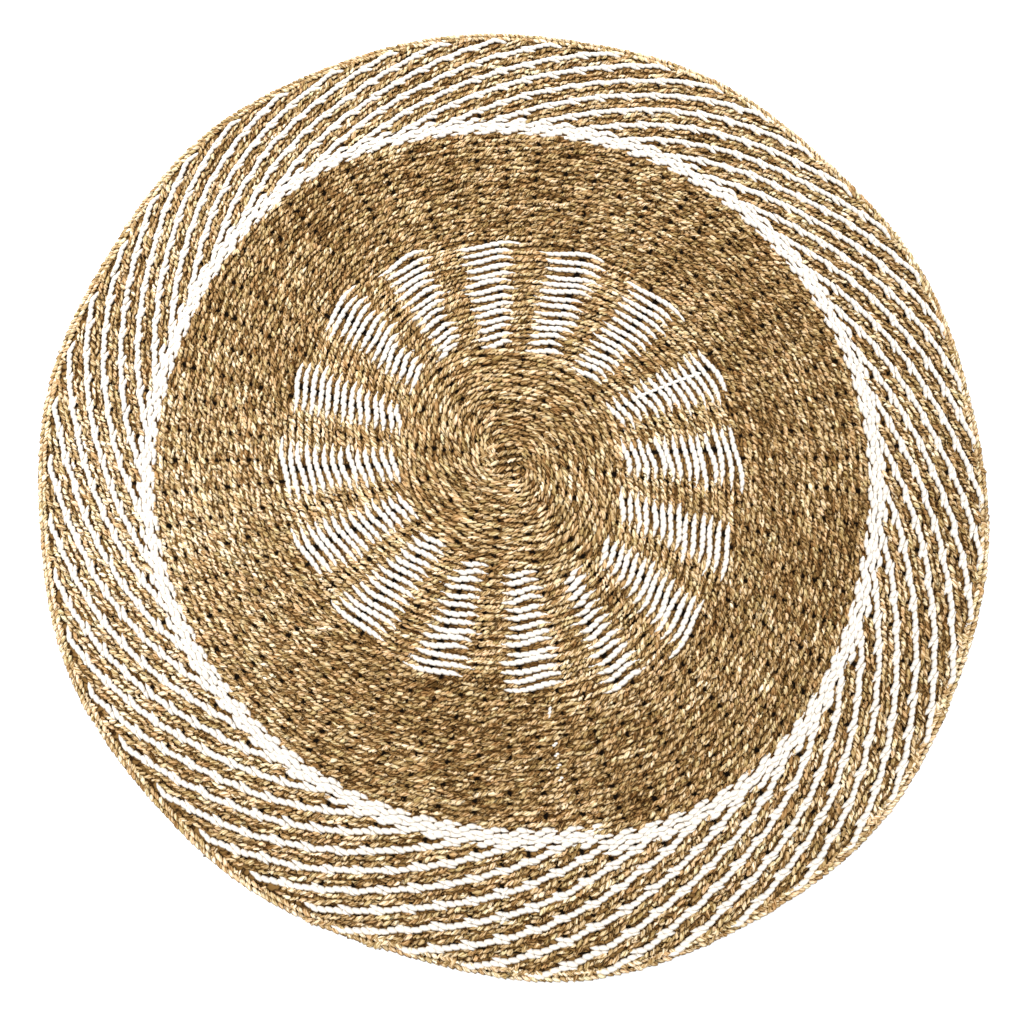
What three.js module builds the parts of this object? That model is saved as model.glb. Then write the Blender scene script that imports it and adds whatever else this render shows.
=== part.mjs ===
// A round seagrass rug lying flat. The weaver twines cords round and round over radial spokes,
// so the whole rug is one spiral of rows, and the spokes' ends are plaited into its edge.
// Millimetres, +Z up. The underside lies on z = 0, below the origin, which is the middle of the box.

import * as THREE from 'three';

// Sizes across the rug. Radii are means, because the rows are a little out of round.
const RUG_RADIUS = 595;
const EDGE_WIDTH = 15; // the plaited edge outside the last row
const ROW_HEIGHT = 9.5; // the crest of a row above the floor
const GROOVE_HEIGHT = 6.5; // the groove between two rows

// The rows grow outwards clockwise, seen from above, and each new turn starts at this spoke.
const FIRST_SPOKE_DEG = 284;

// The zones of the weave, from the middle outwards. radius is where the zone ends on the first spoke.
const ZONES = [
  { zone: 'middle', turns: 12, radius: 139.2 },
  { zone: 'rays', turns: 14, radius: 286.5 },
  { zone: 'plain', turns: 12, radius: 441.9 },
  { zone: 'border', turns: 11, radius: 568.6 },
];

// How far the rows and the outer edge swing in and out round the rug: an oval start and hand tension.
// halfRadius is where a swing of the rows has grown to half of its size.
const ROW_WAVES = [
  { lobes: 1, swing: 6.4, crestDeg: 62, halfRadius: 400 },
  { lobes: 2, swing: 10.0, crestDeg: 124.6, halfRadius: 36 },
  { lobes: 3, swing: 1.4, crestDeg: 53, halfRadius: 60 },
  { lobes: 4, swing: 4.5, crestDeg: 36, halfRadius: 36 },
  { lobes: 6, swing: 3.9, crestDeg: 6, halfRadius: 300 },
];
const EDGE_WAVES = [
  { lobes: 1, swing: 5.7, crestDeg: 30.5 },
  { lobes: 2, swing: 10.3, crestDeg: 118.6 },
  { lobes: 3, swing: 2.0, crestDeg: 68 },
  { lobes: 4, swing: 2.1, crestDeg: 30.6 },
  { lobes: 5, swing: 1.2, crestDeg: 63.1 },
  { lobes: 7, swing: 1.2, crestDeg: 20.3 },
  { lobes: 10, swing: 2.6, crestDeg: 25.7 },
];

// The plaited edge in section, from its crown over its outer side to the floor.
// lump is how far one knot of the plait stands out there.
const EDGE_SECTION = [
  { inset: 11, height: 9.2, lump: 0.6 },
  { inset: 5, height: 9.4, lump: 0.8 },
  { inset: 0.8, height: 6.2, lump: 1.3 },
  { inset: 0.8, height: 3.0, lump: 1.3 },
  { inset: 4, height: 0, lump: 0 },
];
const EDGE_KNOTS = 97; // one for each pair of spokes turned over at the edge

// Steps in one turn of the weave, fewer in the small turns of the middle.
const MIDDLE_STEPS = 24;
const ROW_STEPS = 48;
const LINES_PER_TURN = 2; // a groove and a crest
const POINTS_PER_MM = 1000; // points nearer than this grain are one

const SEAGRASS = new THREE.MeshStandardMaterial({ color: 0xa98b5d, roughness: 0.85, metalness: 0 });

const radians = THREE.MathUtils.degToRad;
const WOVEN_TURNS = ZONES.reduce((sum, zone) => sum + zone.turns, 0);
const WOVEN_RADIUS = RUG_RADIUS - EDGE_WIDTH;

// The direction from the middle at a share of one turn, which runs clockwise from the first spoke.
function directionAt(share) {
  return radians(FIRST_SPOKE_DEG) - 2 * Math.PI * share;
}

// The sum of some waves at an angle. A wave with a halfRadius is small near the middle and grows.
function swingOf(waves, angle, radius) {
  let sum = 0;
  for (const { lobes, swing, crestDeg, halfRadius = 0 } of waves) {
    const grown = radius > 0 ? radius / (radius + halfRadius) : 0;
    sum += grown * swing * Math.cos(lobes * (angle - radians(crestDeg)));
  }
  return sum;
}

// The mean radius after so many turns. The turn after the last zone reaches the plaited edge.
function radiusAfter(turns) {
  let startTurn = 0;
  let startRadius = 0;
  for (const zone of ZONES) {
    if (turns <= startTurn + zone.turns) {
      return startRadius + (zone.radius - startRadius) * (turns - startTurn) / zone.turns;
    }
    startTurn += zone.turns;
    startRadius = zone.radius;
  }
  return startRadius + (WOVEN_RADIUS - startRadius) * Math.min(1, turns - startTurn);
}

// A mean radius made uneven: the rows' own swing in the middle, the edge's swing at the edge.
function unevenRadius(radius, angle) {
  const borderStart = ZONES[2].radius;
  const towardsEdge = THREE.MathUtils.clamp((radius - borderStart) / (RUG_RADIUS - borderStart), 0, 1);
  const rowSwing = swingOf(ROW_WAVES, angle, radius);
  const edgeSwing = swingOf(EDGE_WAVES, angle, radius);
  return radius + THREE.MathUtils.lerp(rowSwing, edgeSwing, towardsEdge);
}

// The points and triangles of one closed solid. A point made twice at one place is one point.
class Solid {
  constructor() {
    this.points = [];
    this.triangles = [];
    this.known = new Map();
  }

  point(radius, angle, height) {
    const place = [radius * Math.cos(angle), radius * Math.sin(angle), height];
    const key = place.map((value) => Math.round(value * POINTS_PER_MM)).join();
    if (!this.known.has(key)) {
      this.known.set(key, this.points.length);
      this.points.push(place);
    }
    return this.known.get(key);
  }

  triangle(a, b, c) {
    if (a !== b && b !== c && c !== a) this.triangles.push(a, b, c);
  }

  // Fills the strip between two lines that run clockwise side by side, whatever their step counts.
  strip(inner, outer) {
    let i = 0;
    let o = 0;
    while (i < inner.length - 1 || o < outer.length - 1) {
      const nextInner = (i + 1) / (inner.length - 1);
      const nextOuter = (o + 1) / (outer.length - 1);
      if (o === outer.length - 1 || (i < inner.length - 1 && nextInner <= nextOuter)) {
        this.triangle(inner[i], inner[i + 1], outer[o]);
        i += 1;
      } else {
        this.triangle(inner[i], outer[o + 1], outer[o]);
        o += 1;
      }
    }
  }

  geometry() {
    const geometry = new THREE.BufferGeometry();
    geometry.setAttribute('position', new THREE.Float32BufferAttribute(this.points.flat(), 3));
    geometry.setIndex(this.triangles);
    return geometry;
  }
}

// One line of the spiral, from the first spoke round to it again, where it meets the next turn's line.
// Line 0 is a groove, line 1 a crest, and so on. The first turn opens from the middle, and the last
// one tapers away against the plaited edge.
function spiralLine(solid, line) {
  const isCrest = line % LINES_PER_TURN !== 0;
  const started = line / LINES_PER_TURN;
  const steps = started < ZONES[0].turns ? MIDDLE_STEPS : ROW_STEPS;
  const ids = [];
  for (let step = 0; step <= steps; step += 1) {
    const share = step / steps;
    const room = started > WOVEN_TURNS ? 1 - share : 1;
    const lastGroove = Math.min(started, WOVEN_TURNS) + share;
    const turns = Math.max(0, lastGroove + Math.max(0, started - WOVEN_TURNS) * room);
    const rise = isCrest && turns > 0 ? (ROW_HEIGHT - GROOVE_HEIGHT) * room : 0;
    const angle = directionAt(share);
    ids.push(solid.point(unevenRadius(radiusAfter(turns), angle), angle, GROOVE_HEIGHT + rise));
  }
  return ids;
}

// One line round the plaited edge. Its points are by turns on a knot and between two knots.
function edgeLine(solid, { inset, height, lump }) {
  const steps = 2 * EDGE_KNOTS;
  const ids = [];
  for (let step = 0; step <= steps; step += 1) {
    const angle = directionAt((step % steps) / steps);
    const knot = step % 2 === 0 ? lump : -lump;
    const lift = height > GROOVE_HEIGHT ? knot / 2 : 0;
    ids.push(solid.point(unevenRadius(RUG_RADIUS - inset, angle) + knot, angle, height + lift));
  }
  return ids;
}

function weave() {
  const solid = new Solid();
  const firstLine = -LINES_PER_TURN;
  const lastLine = (WOVEN_TURNS + 1) * LINES_PER_TURN;
  let inner = spiralLine(solid, firstLine);
  for (let line = firstLine + 1; line <= lastLine; line += 1) {
    const outer = spiralLine(solid, line);
    solid.strip(inner, outer);
    inner = outer;
  }
  for (const row of EDGE_SECTION) {
    const outer = edgeLine(solid, row);
    solid.strip(inner, outer);
    inner = outer;
  }
  const underside = solid.point(0, 0, 0);
  solid.strip(inner, inner.map(() => underside));
  return solid.geometry();
}

// The uneven outline's box is centred on the origin.
function centredOnBox(geometry) {
  geometry.computeBoundingBox();
  const middle = geometry.boundingBox.getCenter(new THREE.Vector3());
  geometry.translate(-middle.x, -middle.y, 0);
  geometry.computeVertexNormals();
  return geometry;
}

const rug = new THREE.Group();
const rugWeave = new THREE.Mesh(centredOnBox(weave()), SEAGRASS);
rugWeave.name = 'rug_weave';
rug.add(rugWeave);

export default rug;
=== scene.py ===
# %% [markdown]
# # A round seagrass rug
#
# The rug is twined by hand. Stiff cords, the spokes, run out from the middle, and two strands are
# wound round and round over and under them in one long spiral. At each spoke one strand passes
# over and the other one under. What the eye sees is only the stretch that passes over: a short
# slanting piece of cord, thousands of them, each of two twisted plies.
#
# We build it in the same order: the plan of the spiral, a dark ground sheet that fills the depth of
# the rug, and then every visible stretch of cord, laid along its own path by Geometry Nodes.

# %% Load the frame
import math

import bpy
import numpy as np
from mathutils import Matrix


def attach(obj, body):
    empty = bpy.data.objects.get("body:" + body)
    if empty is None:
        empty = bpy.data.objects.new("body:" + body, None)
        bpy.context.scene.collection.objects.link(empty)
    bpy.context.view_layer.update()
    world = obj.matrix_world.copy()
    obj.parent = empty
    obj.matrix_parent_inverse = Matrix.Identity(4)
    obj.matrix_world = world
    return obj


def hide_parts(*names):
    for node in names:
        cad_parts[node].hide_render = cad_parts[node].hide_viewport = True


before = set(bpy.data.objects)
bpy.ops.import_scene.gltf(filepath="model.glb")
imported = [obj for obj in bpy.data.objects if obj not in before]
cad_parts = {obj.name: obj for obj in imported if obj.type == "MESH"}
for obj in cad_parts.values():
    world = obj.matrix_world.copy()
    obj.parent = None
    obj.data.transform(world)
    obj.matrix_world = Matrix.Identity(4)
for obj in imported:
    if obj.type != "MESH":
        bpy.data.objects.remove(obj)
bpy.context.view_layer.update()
NODE = "rug_weave"

# %% [markdown]
# ## The plan of the rug
#
# The plan is worked out in millimetres, as a weaver would measure it, and every point is turned
# into metres at the end. The rows are one spiral, so a place in the weave has two numbers: how many
# turns the spiral has made there, and how far it lies to the side of its row. The zones are the
# plain middle, the white rays, the plain ring of grass and the border with its slanting stripes.

# %% The sizes of the rug
MM = 0.001
RUG_RADIUS = 595
EDGE_WIDTH = 15
FIRST_SPOKE_DEG = 284
ZONE_TURNS = {"middle": 12, "rays": 14, "plain": 12, "border": 11}
ZONE_RADIUS = {"middle": 139.2, "rays": 286.5, "plain": 441.9, "border": 568.6}
WOVEN_RADIUS = RUG_RADIUS - EDGE_WIDTH
zone_end = dict(zip(ZONE_TURNS, np.cumsum(list(ZONE_TURNS.values())).tolist()))
print("the spiral makes", zone_end["border"], "turns and a last one that tapers off")

# %% [markdown]
# A hand-made rug is never quite round. The first knots are an oval, and the rows swing in and out
# a little with the tension of the strands. A few waves round the rug give that, each with its own
# number of lobes, its swing in millimetres and the direction of its crest. These numbers come from
# a least-squares fit to the rim, the ring and the rays, as a program measured them in the
# photograph.

# %% How the rows and the edge swing in and out
ROW_WAVES = [
    {"lobes": 1, "swing": 6.4, "crest_deg": 62, "half_radius": 400},
    {"lobes": 2, "swing": 10.0, "crest_deg": 124.6, "half_radius": 36},
    {"lobes": 3, "swing": 1.4, "crest_deg": 53, "half_radius": 60},
    {"lobes": 4, "swing": 4.5, "crest_deg": 36, "half_radius": 36},
    {"lobes": 6, "swing": 3.9, "crest_deg": 6, "half_radius": 300},
]
EDGE_WAVES = [
    {"lobes": 1, "swing": 5.7, "crest_deg": 30.5, "half_radius": 0},
    {"lobes": 2, "swing": 10.3, "crest_deg": 118.6, "half_radius": 0},
    {"lobes": 3, "swing": 2.0, "crest_deg": 68, "half_radius": 0},
    {"lobes": 4, "swing": 2.1, "crest_deg": 30.6, "half_radius": 0},
    {"lobes": 5, "swing": 1.2, "crest_deg": 63.1, "half_radius": 0},
    {"lobes": 7, "swing": 1.2, "crest_deg": 20.3, "half_radius": 0},
    {"lobes": 10, "swing": 2.6, "crest_deg": 25.7, "half_radius": 0},
]
NEARLY_ZERO = 1e-6


def swing_of(waves, angle, radius):
    """The sum of the waves at an angle. A wave with a half_radius is small near the middle."""
    total = 0
    for wave in waves:
        grown = radius / np.maximum(radius + wave["half_radius"], NEARLY_ZERO)
        phase = wave["lobes"] * (angle - math.radians(wave["crest_deg"]))
        total = total + grown * wave["swing"] * np.cos(phase)
    return total


def radius_after(turns):
    """The mean radius of the spiral after so many turns."""
    turn_marks = [0, *zone_end.values(), zone_end["border"] + 1]
    return np.interp(turns, turn_marks, [0, *ZONE_RADIUS.values(), WOVEN_RADIUS])


def uneven_radius(radius, angle):
    """A mean radius made uneven: by the rows' swing inside, by the edge's swing at the edge."""
    border_start = ZONE_RADIUS["plain"]
    to_edge = np.clip((radius - border_start) / (RUG_RADIUS - border_start), 0, 1)
    rows = swing_of(ROW_WAVES, angle, radius)
    edge = swing_of(EDGE_WAVES, angle, radius)
    return radius + rows * (1 - to_edge) + edge * to_edge


def direction_at(turns):
    """The direction from the middle. The spiral runs clockwise, seen from above."""
    return math.radians(FIRST_SPOKE_DEG) - 2 * np.pi * np.asarray(turns)


print("the rows swing by up to", round(sum(wave["swing"] for wave in ROW_WAVES), 1), "mm")

# %% [markdown]
# The frame's origin is the middle of the rug's box, and the weave's own centre lies a little beside
# it. We find that offset from the outline, just as the solid was centred.

# %% From the plan to the frame
OUTLINE_STEP_DEG = 0.5
rim_angles = np.radians(np.arange(0, 360, OUTLINE_STEP_DEG))
rim_radii = uneven_radius(np.full_like(rim_angles, RUG_RADIUS), rim_angles)
rim = np.stack([rim_radii * np.cos(rim_angles), rim_radii * np.sin(rim_angles)], axis=1)
outline_middle = (rim.max(axis=0) + rim.min(axis=0)) / 2


def placed(radius, angle, height):
    """Points of the frame, in metres, from polar places of the plan, in millimetres."""
    x = radius * np.cos(angle) - outline_middle[0]
    y = radius * np.sin(angle) - outline_middle[1]
    return np.stack(np.broadcast_arrays(x, y, height), axis=-1) * MM


print("the weave's centre lies at", (-outline_middle).round(1), "mm from the box's middle")

# %% [markdown]
# ## A small helper for node trees
#
# Every material and every Geometry Nodes tree below is a set of nodes joined by wires. Placing them
# by hand in a script is long-winded, so one class stands for a wire: adding or multiplying two
# wires adds the Math node, and add() makes any other node from its settings and its inputs.

# %% Wires
def enabled_socket(sockets, key):
    """A socket by its place, or the one of that name that is switched on."""
    if isinstance(key, int):
        return [socket for socket in sockets if socket.enabled][key]
    return next(socket for socket in sockets if socket.enabled and socket.name == key)


def fill_ramp(ramp, stops):
    """Gives a colour ramp its stops, each a place and a colour."""
    while len(ramp.elements) < len(stops):
        ramp.elements.new(0.5)
    for element, (place, color) in zip(ramp.elements, stops):
        element.position = place
        element.color = (*color, 1)


class Wire:
    """The output of a node. Python's arithmetic on wires adds Math nodes to the tree."""

    def __init__(self, tree, socket=None):
        self.tree = tree
        self.socket = socket

    def add(self, kind, settings=None, inputs=None, output=0):
        """A new node of the same tree, as a wire from one of its outputs."""
        node = self.tree.nodes.new(kind)
        for name, value in (settings or {}).items():
            if name == "stops":
                fill_ramp(node.color_ramp, value)
            else:
                setattr(node, name, value)
        for key, value in (inputs or {}).items():
            target = enabled_socket(node.inputs, key)
            if isinstance(value, Wire):
                self.tree.links.new(value.socket, target)
            else:
                target.default_value = value
        outputs = [socket for socket in node.outputs if socket.enabled]
        return Wire(self.tree, enabled_socket(node.outputs, output) if outputs else None)

    def out(self, name):
        """Another output of the same node."""
        return Wire(self.tree, enabled_socket(self.socket.node.outputs, name))

    def math(self, operation, *values):
        return self.add("ShaderNodeMath", {"operation": operation}, dict(enumerate(values)))

    def __add__(self, other):
        return self.math("ADD", self, other)

    __radd__ = __add__

    def __mul__(self, other):
        return self.math("MULTIPLY", self, other)

    __rmul__ = __mul__

    def __sub__(self, other):
        return self.math("SUBTRACT", self, other)

    def __rsub__(self, other):
        return self.math("SUBTRACT", other, self)

    def __truediv__(self, other):
        return self.math("DIVIDE", self, other)

    def clamped(self):
        return self.math("MINIMUM", self.math("MAXIMUM", self, 0.0), 1.0)

    def vector(self, x, y, z=0.0):
        """A vector put together from three numbers."""
        return self.add("ShaderNodeCombineXYZ", None, {"X": x, "Y": y, "Z": z})

    def part(self, axis):
        """One number of a vector: X, Y or Z."""
        return self.add("ShaderNodeSeparateXYZ", None, {"Vector": self}).out(axis)


# %% [markdown]
# Blender reckons in linear light, but a colour is easier to judge as a screen shows it. So colours
# are given from 0 to 255, as on a screen, and turned into linear light here.

# %% Colours
def srgb(red, green, blue):
    """The linear light of a colour as seen on a screen, by the standard curve of screens."""
    channels = np.array([red, green, blue]) / 255
    linear = np.where(channels <= 0.04045, channels / 12.92, ((channels + 0.055) / 1.055) ** 2.4)
    return tuple(float(v) for v in linear)


print("the middle grey of a screen is", round(srgb(128, 128, 128)[0], 2), "in linear light")

# %% [markdown]
# ## One ply
#
# A cord is two plies twisted round each other. From above, a ply comes up on one side of the cord,
# crosses its back and dives under the other ply: it shows as one plump slanting grain. Two whole
# tubes could be swept along every path, but that costs many times the faces, and all of it hidden
# but the crowns. We model the stretch that shows once, as a short tube along a helix with its ends
# drawn to a point, and lay copies of it along each cord. Each grain may then differ a little, as on
# the real grass.
#
# Grass cord is twisted like the stroke of the letter Z, and bleached cord like the stroke of S. The
# hand of a ply is 1 for S and -1 for Z, which mirrors the helix. The shoulder says where the tube
# starts to taper and how stout it still is there.
#
# The tube also brings a UV map called ply: along the grain and around it. The fibres in the
# materials follow it.

# %% The points of a ply
PLY_SIDES = 4
S_TWIST = 1
Z_TWIST = -1


def ply_points(half_twist, ply_radius, off_axis, shoulder, hand, reach_deg, breadth):
    """The points of a ply along +X and how far along it each lies: a tip, three rings and a tip."""
    shoulder_at, shoulder_girth = shoulder
    stations = [
        {"at": -1.0, "girth": 0.0},
        {"at": -shoulder_at, "girth": shoulder_girth},
        {"at": 0.0, "girth": 1.0},
        {"at": shoulder_at, "girth": shoulder_girth},
        {"at": 1.0, "girth": 0.0},
    ]
    climb = off_axis * math.pi / half_twist
    points, shares = [], []
    for station in stations:
        twist = math.radians(90 + reach_deg * station["at"])
        along = half_twist * reach_deg * station["at"] / 180
        middle = np.array([along, hand * off_axis * math.cos(twist), off_axis * math.sin(twist)])
        ahead = np.array([1, -hand * climb * math.sin(twist), climb * math.cos(twist)])
        ahead /= np.linalg.norm(ahead)
        outward = np.array([0, hand * math.cos(twist), math.sin(twist)])
        sideways = np.cross(outward, ahead)
        for side in range(PLY_SIDES if station["girth"] else 1):
            around = 2 * math.pi * side / PLY_SIDES
            spoke = -math.cos(around) * outward + math.sin(around) * breadth * sideways
            points.append(tuple((middle + station["girth"] * ply_radius * spoke) * MM))
            shares.append((station["at"] + 1) / 2)
    return points, shares


# %% [markdown]
# The tube has four sides. Its faces join each ring to the next one, and a fan closes either tip.
# Each corner also gets its place in the map: along the ply from 0 to 1, and around it from 0 to 1.

# %% The faces of a ply
def ply_faces(shares):
    """The faces of a ply, and for each corner its place in the map: along and around."""
    last = len(shares) - 1
    rings = (last - 1) // PLY_SIDES
    faces, corners = [], []
    for side in range(PLY_SIDES):
        after = (side + 1) % PLY_SIDES
        low, high = side / PLY_SIDES, (side + 1) / PLY_SIDES
        between = (low + high) / 2
        a, b = 1 + side, 1 + after
        faces.append((0, b, a))
        corners.append(((0, between), (shares[b], high), (shares[a], low)))
        for ring in range(rings - 1):
            a, b = 1 + ring * PLY_SIDES + side, 1 + ring * PLY_SIDES + after
            c, d = b + PLY_SIDES, a + PLY_SIDES
            near, far = shares[a], shares[d]
            faces.append((a, b, c, d))
            corners.append(((near, low), (near, high), (far, high), (far, low)))
        a, b = last - PLY_SIDES + side, last - PLY_SIDES + after
        faces.append((a, b, last))
        corners.append(((shares[a], low), (shares[b], high), (1, between)))
    return faces, corners


# %% [markdown]
# A kind of cord is the length of its half twist and the ply that is laid at each half twist. Sizes
# are in millimetres. The white cord is thicker and smoother: its plies reach further round it.

# %% Two kinds of cord
def twisted_cord(
    name,
    half_twist,
    ply_radius,
    off_axis,
    shoulder=(0.7, 0.9),
    hand=S_TWIST,
    reach_deg=125,
    breadth=1.0,
):
    """A kind of cord, with the mesh of one of its plies."""
    sizes = (half_twist, ply_radius, off_axis)
    points, shares = ply_points(*sizes, shoulder, hand, reach_deg, breadth)
    faces, corners = ply_faces(shares)
    mesh = bpy.data.meshes.new(name)
    mesh.from_pydata(points, [], faces)
    layer = mesh.uv_layers.new(name="ply")
    layer.data.foreach_set("uv", [value for face in corners for uv in face for value in uv])
    mesh.shade_smooth()
    return {"half_twist": half_twist, "ply": bpy.data.objects.new(name, mesh)}


def triangle_count(obj):
    return sum(len(face.vertices) - 2 for face in obj.data.polygons)


grass_cord = twisted_cord(
    "grass_ply",
    half_twist=8.6,
    ply_radius=2.65,
    off_axis=0.75,
    shoulder=(0.72, 0.86),
    hand=Z_TWIST,
)
white_cord = twisted_cord(
    "white_ply",
    half_twist=9.5,
    ply_radius=3.1,
    off_axis=0.65,
    shoulder=(0.62, 0.93),
    reach_deg=150,
    breadth=1.15,
)
print("one ply has", triangle_count(grass_cord["ply"]), "triangles")

# %% [markdown]
# ## Laying the plies with Geometry Nodes
#
# The cords' paths are a mesh of edges only, one chain for each cord. The tree turns them into
# curves, sets a point at every half twist, and puts a ply on each point, along the cord and with
# its crown up. Small random turns and sizes keep the cords from looking machine-made. Each ply
# keeps a random number, tone, for its colour, and the whole cord brings another one, strand.
#
# First come the inputs of the tree and three small helpers. A random number takes a salt, so that
# no two of them are alike.

# %% Inputs and random numbers of the tree
def ply_inputs():
    """An empty tree, with an input for each thing that one piece does in its own way."""
    tree = bpy.data.node_groups.new("lay plies", "GeometryNodeTree")
    for name, kind in [
        ("Paths", "NodeSocketGeometry"),
        ("Ply", "NodeSocketObject"),
        ("Half Twist", "NodeSocketFloat"),
        ("Turn Spread", "NodeSocketFloat"),
        ("Size Spread", "NodeSocketFloat"),
        ("Side Spread", "NodeSocketFloat"),
        ("Lumps", "NodeSocketFloat"),
        ("Taper", "NodeSocketFloat"),
        ("Seed", "NodeSocketInt"),
        ("Finish", "NodeSocketMaterial"),
    ]:
        tree.interface.new_socket(name, in_out="INPUT", socket_type=kind)
    tree.interface.new_socket("Cords", in_out="OUTPUT", socket_type="NodeSocketGeometry")
    return Wire(tree).add("NodeGroupInput")


def spread(start, name, salt):
    """A random number from minus the input of that name to plus it."""
    limits = {"Min": -1.0, "Max": 1.0, "Seed": start.out("Seed") + float(salt)}
    return start.add("FunctionNodeRandomValue", {"data_type": "FLOAT"}, limits) * start.out(name)


def stored(geometry, name, value, data_type, domain):
    """The geometry with a named attribute written on it."""
    settings = {"data_type": data_type, "domain": domain}
    inputs = {"Geometry": geometry, "Name": name, "Value": value}
    return geometry.add("GeometryNodeStoreNamedAttribute", settings, inputs)


def read(start, name, data_type):
    """An attribute of that name."""
    return start.add("GeometryNodeInputNamedAttribute", {"data_type": data_type}, {"Name": name})


# %% [markdown]
# A cord's length is seldom a whole number of half twists, so the number of plies is rounded and
# they are stretched to fit. A ply may roll and swing as it likes, but it hardly tips up or down. It
# gets thinner near the ends of its cord, where the strand dives under its neighbours.

# %% Where the plies lie, and how large they are
TIP_SHARE = 0.4
TAPER_POWER = 3.0


def stepped_cords(start):
    """A point for each ply, with its tone, and how much the plies are stretched to fit."""
    curves = start.add("GeometryNodeMeshToCurve", None, {"Mesh": start.out("Paths")})
    length = start.add("GeometryNodeSplineLength", None, None, "Length")
    plies = start.math("MAXIMUM", start.math("ROUND", length / start.out("Half Twist")), 1.0)
    steps = {"Curve": curves, "Count": plies + 1.0}
    points = start.add("GeometryNodeResampleCurve", {"mode": "COUNT"}, steps)
    seed = {"Seed": start.out("Seed")}
    tone = start.add("FunctionNodeRandomValue", {"data_type": "FLOAT"}, seed)
    stretch = length / (plies * start.out("Half Twist"))
    return stored(points, "tone", tone, "FLOAT", "POINT"), stretch


def lie_of_plies(start):
    """Along the cord with the crown up, but for a small random turn."""
    along = start.add(
        "FunctionNodeAxesToRotation",
        {"primary_axis": "X", "secondary_axis": "Z"},
        {"Primary Axis": start.add("GeometryNodeInputTangent"), "Secondary Axis": (0, 0, 1)},
    )
    roll, tip, swing = [spread(start, "Turn Spread", salt) for salt in (4, 5, 6)]
    turn = {"Euler": start.vector(roll, tip * TIP_SHARE, swing)}
    turned = start.add("FunctionNodeEulerToRotation", None, turn)
    both = {"Rotation": along, "Rotate By": turned}
    return start.add("FunctionNodeRotateRotation", {"rotation_space": "LOCAL"}, both)


def size_of_plies(start, stretch):
    """Longer or stouter by chance, and thinner towards both ends of the cord."""
    share = start.add("GeometryNodeSplineParameter", None, None, "Factor")
    from_middle = start.math("ABSOLUTE", share * 2.0 - 1.0)
    thinner = start.math("POWER", from_middle, TAPER_POWER) * start.out("Taper")
    girth = (1 + spread(start, "Size Spread", 7)) * (1 - thinner)
    return start.vector((1 + spread(start, "Size Spread", 8)) * stretch, girth, girth)


# %% [markdown]
# Dried grass isn't smooth, so a coarse noise moves the points of the finished plies a little.
#
# The tree also makes a second UV map, OFBake, a square grid with one cell for each ply. Baking
# needs such a map without overlaps, and a grid is quicker than unwrapping thousands of grains.

# %% Lumps, and the map for baking
LUMPS_PER_METRE = 260.0
CELL_MARGIN = 0.06


def lumpy(start, plies):
    """The plies with their points moved by a noise."""
    coarse = {"Scale": LUMPS_PER_METRE, "Detail": 0.0}
    cloud = start.add("ShaderNodeTexNoise", None, coarse, "Color")
    less_half = {0: cloud, 1: (0.5, 0.5, 0.5)}
    centred = start.add("ShaderNodeVectorMath", {"operation": "SUBTRACT"}, less_half, "Vector")
    size = {"Vector": centred, "Scale": start.out("Lumps")}
    lump = start.add("ShaderNodeVectorMath", {"operation": "SCALE"}, size, "Vector")
    return start.add("GeometryNodeSetPosition", None, {"Geometry": plies, "Offset": lump})


def mapped_for_baking(start, plies, total):
    """The plies with the map OFBake, in which each has a cell of its own."""
    across = start.math("CEIL", start.math("SQRT", total))
    cell = read(start, "cell", "INT")
    inside = read(start, "ply", "FLOAT_VECTOR")
    column = start.math("FLOORED_MODULO", cell, across)
    row = start.math("FLOOR", cell / across)
    room = 1 - 2 * CELL_MARGIN
    grid = start.vector(
        (column + CELL_MARGIN + inside.part("X") * room) / across,
        (row + CELL_MARGIN + inside.part("Y") * room) / across,
    )
    return stored(plies, "OFBake", grid, "FLOAT2", "CORNER")


# %% [markdown]
# Now the whole tree. It ends by making the copies real and giving them their finish, because an
# instance doesn't outlive an export.

# %% The tree that lays plies
def ply_tree():
    start = ply_inputs()
    points, stretch = stepped_cords(start)
    nudge = start.vector(*[spread(start, "Side Spread", salt) for salt in (1, 2, 3)])
    nudged = start.add("GeometryNodeSetPosition", None, {"Geometry": points, "Offset": nudge})
    ply = start.add("GeometryNodeObjectInfo", None, {"Object": start.out("Ply")}, "Geometry")
    copies = {
        "Points": nudged,
        "Instance": ply,
        "Rotation": lie_of_plies(start),
        "Scale": size_of_plies(start, stretch),
    }
    laid = start.add("GeometryNodeInstanceOnPoints", None, copies)
    counted = stored(laid, "cell", start.add("GeometryNodeInputIndex"), "INT", "INSTANCE")
    size = {"component": "INSTANCES"}
    total = start.add("GeometryNodeAttributeDomainSize", size, {"Geometry": laid})
    real = start.add("GeometryNodeRealizeInstances", None, {"Geometry": counted})
    mapped = mapped_for_baking(start, lumpy(start, real), total)
    cleaned = start.add("GeometryNodeRemoveAttribute", None, {"Geometry": mapped, "Name": "cell"})
    finish = {"Geometry": cleaned, "Material": start.out("Finish")}
    finished = start.add("GeometryNodeSetMaterial", None, finish)
    start.add("NodeGroupOutput", None, {"Cords": finished})
    return start.tree


PLY_TREE = ply_tree()
print("the tree that lays plies has", len(PLY_TREE.nodes), "nodes")

# %% [markdown]
# A helper makes one piece: it writes the chains of edges, runs the tree on them with the inputs of
# this piece, and keeps the result as a plain mesh. The spreads say how unevenly the plies lie:
# turns in degrees, sizes and tapers as shares, and side steps and lumps in millimetres.

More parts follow.
